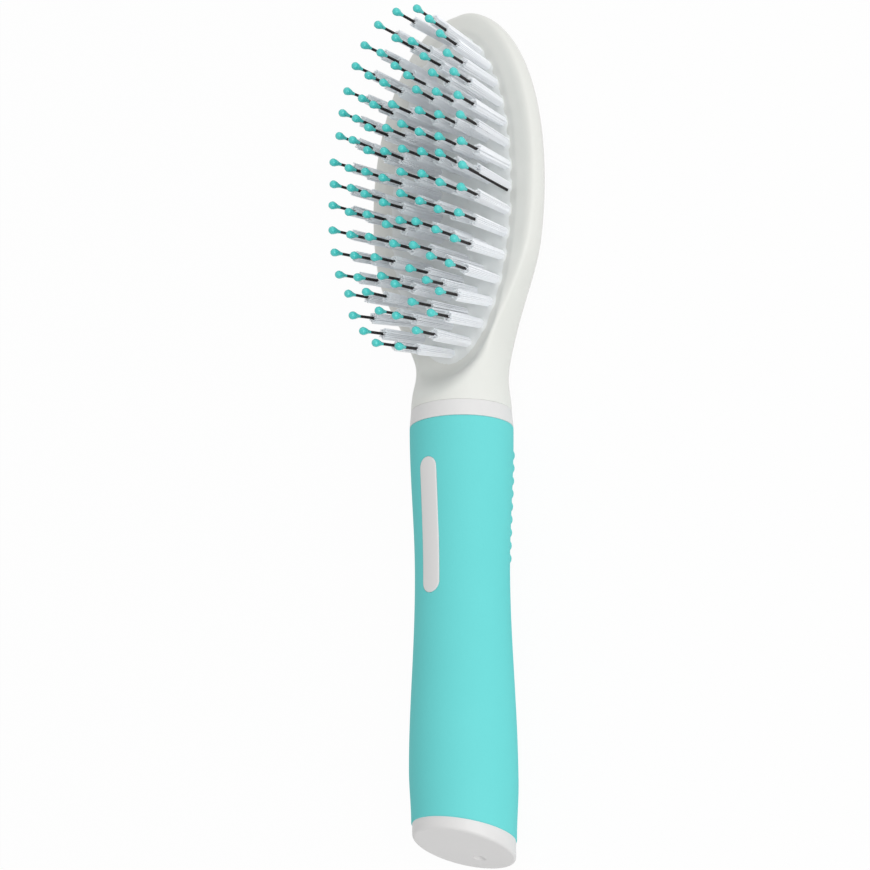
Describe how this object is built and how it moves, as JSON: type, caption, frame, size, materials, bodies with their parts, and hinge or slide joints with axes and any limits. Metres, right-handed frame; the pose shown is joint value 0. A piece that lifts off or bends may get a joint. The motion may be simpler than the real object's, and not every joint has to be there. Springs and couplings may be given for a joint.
{
  "type": "pet grooming brush",
  "caption": "Pet brush with an oval tufted face of white filaments and bead-tipped quills, a domed white head, a round soft grip handle with a front inlay and a slanted end cap.",
  "frame": {"origin": "under the middle of the brush, on the surface that it lies on", "axes": "+X along the handle to the tip of the head, +Z the way the bristles point, away from the surface"},
  "size_m": [0.2244, 0.0572, 0.0408],
  "materials": {
    "white_abs": "satin moulded",
    "white_nylon": "drawn filament",
    "black_nylon": "drawn filament",
    "teal_bead": "dipped bead",
    "soft_grip": "matte overmoulded elastomer"
  },
  "bodies": {
    "root": {"head_shell": "white_abs", "filament_plate": "white_nylon", "quill_plate": "black_nylon", "handle_core": "white_abs", "grip_sleeve": "soft_grip", "end_cap": "white_abs"}
  },
  "joints": []
}
